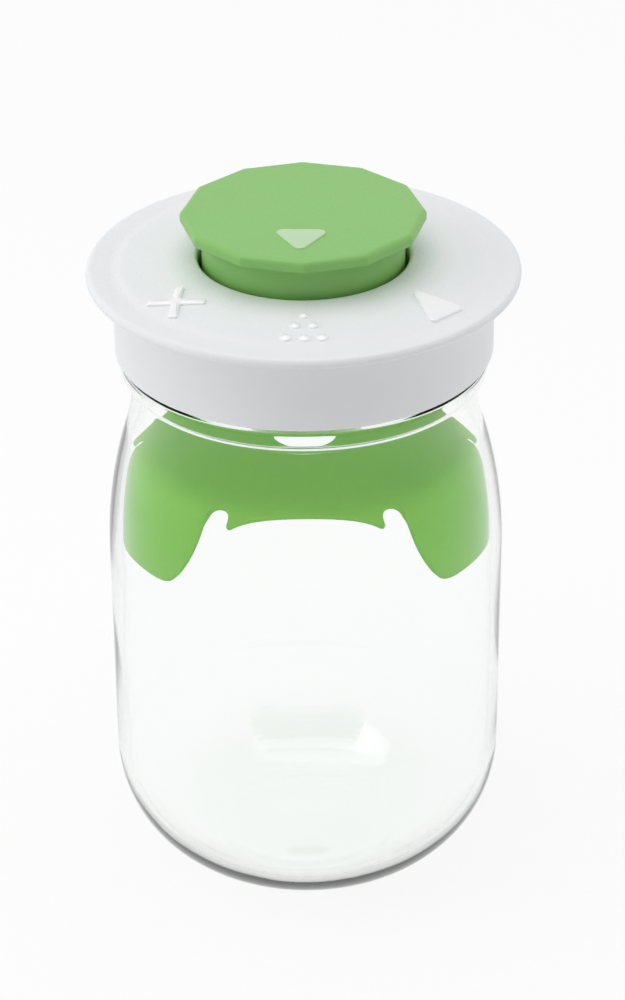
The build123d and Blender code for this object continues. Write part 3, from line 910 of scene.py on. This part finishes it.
def bell_profile(looks, glass):
    """The keeper's outer face: the length along it from the axis, its radius and height, and its normal.

    The crown is a shallow arc about the axis, a tangent arc turns it down, and the side follows the glass at a
    gap.
    """
    inside = glass.body_radius - glass.wall
    neck = glass.waist_radius - NECK_WALL
    rise = glass.waist_height - glass.shoulder_height
    curve = SHOULDER_SHARE * rise / math.sin(2 * math.atan2(inside - neck, rise))
    bend = looks.height - 6 * MM
    tip = looks.height - looks.petal_length
    heights = np.linspace(bend, tip - 2 * MM, 30)
    wall = inside - curve + np.sqrt(curve**2 - (heights - glass.shoulder_height) ** 2) - 0.4 * MM
    side = np.column_stack((wall, heights))
    shoulder = (side[0, 0] - 6.6 * MM, looks.height)
    turn = tangent_arc(side[0], shoulder, side[0] - side[1], 24)[::-1]
    crown = tangent_arc((0, looks.height + 2 * MM), shoulder, OUT, 40)
    line = chain(crown, turn, side)
    travel = np.concatenate(([0], np.cumsum(np.linalg.norm(np.diff(line, axis=0), axis=1))))
    ahead = np.gradient(line, travel, axis=0)
    return travel, line, unit(np.column_stack((-ahead[:, 1], ahead[:, 0])))


def keeper_plate(travel, line):
    """Bearing and length along the bell of half a tab's straight edge and of the notch beside it."""
    tab, half, notch, notch_reach = 40.4 * MM, 19.6 * MM, 2.6 * MM, 43.4 * MM
    lean = math.atan2(half, tab) + math.asin(notch / math.hypot(half, tab))
    flat_edge = straight((0, tab), (half, tab), 60)
    out = np.array((math.sin(lean), math.cos(lean)))
    side = np.array((math.cos(lean), -math.sin(lean)))
    swing = np.radians(np.linspace(180, 360, 60))[:, None]
    bowl = (notch_reach + notch * np.sin(swing)) * out + notch * np.cos(swing) * side
    x, y = np.vstack((flat_edge, bowl)).T
    crown = np.argmax(line[:, 0] > line[:, 0].max() - 3.0 * MM)
    return np.column_stack((np.arctan2(x, y), np.interp(np.hypot(x, y), line[:crown, 0], travel[:crown])))


def keeper_side(looks, travel, line):
    """Bearing and length along the bell of a petal's bowed side, its round toe and half of its foot."""
    radius, depth = line[:, 0], looks.height - line[:, 1]
    # Half widths of the window, measured at depths under the plate, with a smooth line through them
    depths = np.array((4.5, 8.0, 12.0, 16.0, 19.5, 21.9)) * MM
    widths = np.array((24.6, 25.7, 27.2, 29.0, 31.0, 32.6)) * MM
    bow = np.polynomial.Polynomial.fit(depths, widths, 3)
    fine = np.linspace(depths[0], looks.petal_length, 80)
    toe = np.clip((fine - 19.8 * MM) / (3.5 * MM), 0, 1)
    width = bow(np.minimum(fine, 20.8 * MM)) + 4.5 * MM * (1 - np.sqrt(1 - toe**2))
    bearing = np.arcsin(width / np.interp(fine, depth, radius))
    side = np.column_stack((bearing, np.interp(fine, depth, travel)))
    return chain(side, straight(side[-1], (math.pi / 3, side[-1, 1]), 30))


def keeper_edge(looks, travel, line, count):
    """The keeper's outline as bearing and length along the bell, over a third of a turn.

    From the middle of a tab it runs along the tab's straight edge, round a notch, down the bowed side of a
    petal and along the petal's foot, and back as its mirror. It is resampled evenly, kept from turning back
    and smoothed by a bell curve of 0.45 mm.
    """
    third = 2 * math.pi / 3
    sixth = chain(keeper_plate(travel, line), keeper_side(looks, travel, line))
    sixth[:, 0] = np.maximum.accumulate(sixth[:, 0])
    mirrored = np.column_stack((third - sixth[::-1, 0], sixth[::-1, 1]))
    outline = chain(sixth, mirrored[1:])
    reach = np.interp(outline[:, 1], travel, line[:, 0])
    steps = np.hypot(np.diff(outline[:, 0]) * (reach[1:] + reach[:-1]) / 2, np.diff(outline[:, 1]))
    distance = np.concatenate(([0], np.cumsum(steps)))
    even = np.linspace(0, distance[-1], count, endpoint=False)
    turn = np.arange(count) * third / count
    drift = np.interp(even, distance, outline[:, 0]) - turn
    length_along = np.interp(even, distance, outline[:, 1])
    shifts = np.arange(-8, 9)
    weight = np.exp(-((shifts * distance[-1] / count / (0.45 * MM)) ** 2) / 2)
    weight = weight / weight.sum()
    drift, length_along = (
        sum(w * np.roll(values, s) for w, s in zip(weight, shifts)) for values in (drift, length_along)
    )
    return drift + turn, length_along


class BuildKeeper(bpy.types.Operator):
    """Keeper: a thin bell with three tabs and three petals, as one closed skin with round edges"""

    bl_idname = "fermentation_jar.keeper"
    bl_label = "Keeper"

    def execute(self, context):
        group = context.scene.fermentation_jar
        looks = group.keeper
        travel, line, normal = bell_profile(looks, group.glass)
        count, rows, hole = 190, 42, 8 * MM
        third = 2 * math.pi / 3
        bearing, reach = keeper_edge(looks, travel, line, count)
        half = looks.wall / 2

        def on_bell(values, along):
            """Radius or height, or the parts of the normal, at lengths along the bell."""
            return np.stack([np.interp(along, travel, part) for part in values.T], axis=-1)

        # The round edge has its centre half a wall inside the outline
        wide = on_bell(line, reach)[:, 0]
        after, before = np.roll(bearing, -1), np.roll(bearing, 1)
        after[-1] += third
        before[0] -= third
        ahead = unit(np.column_stack(((after - before) * wide, np.roll(reach, -1) - np.roll(reach, 1))))
        bearing = bearing + ahead[:, 1] * half / wide
        reach = reach - ahead[:, 0] * half
        shift = third * np.arange(3)[:, None]
        at_edge = (bearing + shift).ravel()
        at_hole = (np.linspace(0, third, count, endpoint=False) + shift).ravel()
        start, end = hole + half, np.tile(reach, 3)
        share = np.linspace(0, 1, rows)[:, None]
        theta = at_hole + (at_edge - at_hole) * share**2
        along = start + (end - start) * share

        def round_axis(flat):
            """Radius and height turned to the bearing theta from the front."""
            return np.stack((flat[..., 0] * np.sin(theta), -flat[..., 0] * np.cos(theta), flat[..., 1]), axis=2)

        upward = round_axis(unit(on_bell(normal, along)))
        middle = round_axis(on_bell(line, along)) - half * upward
        lower, upper = middle - half * upward, middle + half * upward
        turn = np.radians(np.linspace(0, 180, 8)[1:-1])[:, None, None]

        def rim(row, sign):
            """Half a circle from the lower face to the upper one, about the middle of the wall."""
            onward = np.roll(middle[row], -1, axis=0) - np.roll(middle[row], 1, axis=0)
            away = sign * unit(np.cross(onward, upward[row]))
            return middle[row] + half * (-np.cos(turn) * upward[row] + np.sin(turn) * away)

        grid = np.concatenate((lower, rim(-1, 1), upper[::-1], rim(0, -1)[::-1]))
        green = plastic(
            "keeper green", tuple(looks.green), 0.36, 900, 0.02 * MM, tint=0.05, through=looks.through
        )
        keeper = skin(grid, ring=True)
        piece("keeper_moulding", [keeper], green, "keeper", ("keeper",))
        return {"FINISHED"}


class DressFittings(bpy.types.Operator):
    """Materials for the fittings that keep their own solids: seal, stem ring, clip, valve plate and valve"""

    bl_idname = "fermentation_jar.fittings"
    bl_label = "Seals and valve"

    def execute(self, context):
        milky = silicone("seal silicone", (0.72, 0.74, 0.72))
        green = silicone("valve plate silicone", (0.2, 0.48, 0.13))
        natural = plastic("natural plastic", (0.74, 0.74, 0.68), 0.4, 800, 0.02 * MM, through=0.2)
        finishes = {
            "lid_seal": milky, "stem_ring": milky, "relief_valve": milky,
            "valve_plate": green, "stem_clip": natural,
        }
        for name, finish in finishes.items():
            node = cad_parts[name]
            node.data.materials.clear()
            node.data.materials.append(finish)
        return {"FINISHED"}


# Stage

def soft_lamp(name, place, size, power):
    """A round soft lamp that faces the jar."""
    data = bpy.data.lights.new(name, "AREA")
    data.shape = "DISK"
    data.size = size
    data.energy = power
    lamp = linked(name, data)
    lamp.location = Vector(place)
    aim = Vector((0, 0, 0.1))
    lamp.rotation_euler = (aim - lamp.location).to_track_quat("-Z", "Y").to_euler()
    return lamp


class BuildStage(bpy.types.Operator):
    """Pale floor, soft lamps, white room and the camera at the photograph's angle"""

    bl_idname = "fermentation_jar.stage"
    bl_label = "Stage"

    def execute(self, context):
        scene = context.scene
        looks = scene.fermentation_jar.stage
        wide, thick = 3.0, 2 * MM
        floor = flat_turned("floor", chain((0, -thick), (wide, -thick), (wide, 0), (0, 0)), even_angles(96))
        floor.data.materials.append(studio_white("pale floor", 0.84))
        for name, place, size, power in (
            ("lamp_top", (-0.15, 0.0, 1.5), 1.6, 10.5),
            ("lamp_left", (-1.5, -0.2, 0.7), 1.6, 9.0),
            ("lamp_right", (1.5, 0.1, 0.6), 1.4, 4.8),
        ):
            lamp = soft_lamp(name, place, size, power * looks.lamps)
            # The side lamps leave no round spots on the glass
            lamp.visible_glossy = lamp.visible_transmission = name == "lamp_top"
        scene.world = bpy.data.worlds.new("room")
        tree = Finish(scene.world, "OutputWorld")
        room, white = (
            tree.add("Background", {"Color": (1, 1, 1, 1), "Strength": power}) for power in (looks.room, 1.0)
        )
        tree.link(tree.mixed(room, white, tree.looked_at(1.0)).outputs[0], tree.surface)
        scene.view_settings.view_transform = "Standard"
        data = bpy.data.cameras.new("camera")
        data.lens, data.sensor_width = looks.lens, 36
        data.clip_start, data.clip_end = 0.05, 20
        camera = linked("camera", data)
        rise, middle = looks.elevation, 0.0816
        camera.location = (0, -looks.distance * math.cos(rise), middle + looks.distance * math.sin(rise))
        turns = ((-looks.aside, "Z"), (math.pi / 2 - rise + looks.lift, "X"), (looks.roll, "Z"))
        turn, pitch, roll = (Matrix.Rotation(angle, 3, axis) for angle, axis in turns)
        camera.rotation_euler = (turn @ pitch @ roll).to_euler()
        scene.camera = camera
        return {"FINISHED"}


STEPS = (BuildGlassJar, BuildLid, BuildLidMarks, BuildKnob, BuildKeeper, DressFittings, BuildStage)


class JarPanel(bpy.types.Panel):
    bl_idname = "VIEW3D_PT_fermentation_jar"
    bl_label = "Fermentation Jar"
    bl_space_type = "VIEW_3D"
    bl_region_type = "UI"
    bl_category = "Jar"

    def draw(self, context):
        for step in STEPS:
            self.layout.operator(step.bl_idname)


CLASSES = (GlassLooks, LidLooks, KnobLooks, KeeperLooks, StageLooks, JarLooks, *STEPS, JarPanel)


def register():
    for item in CLASSES:
        bpy.utils.register_class(item)
    bpy.types.Scene.fermentation_jar = bpy.props.PointerProperty(type=JarLooks)


def unregister():
    del bpy.types.Scene.fermentation_jar
    for item in reversed(CLASSES):
        bpy.utils.unregister_class(item)


def main():
    register()
    bpy.ops.fermentation_jar.glass_jar()
    bpy.ops.fermentation_jar.lid()
    bpy.ops.fermentation_jar.lid_marks()
    bpy.ops.fermentation_jar.knob()
    bpy.ops.fermentation_jar.keeper()
    bpy.ops.fermentation_jar.fittings()
    bpy.ops.fermentation_jar.stage()


if __name__ == "__main__":
    main()
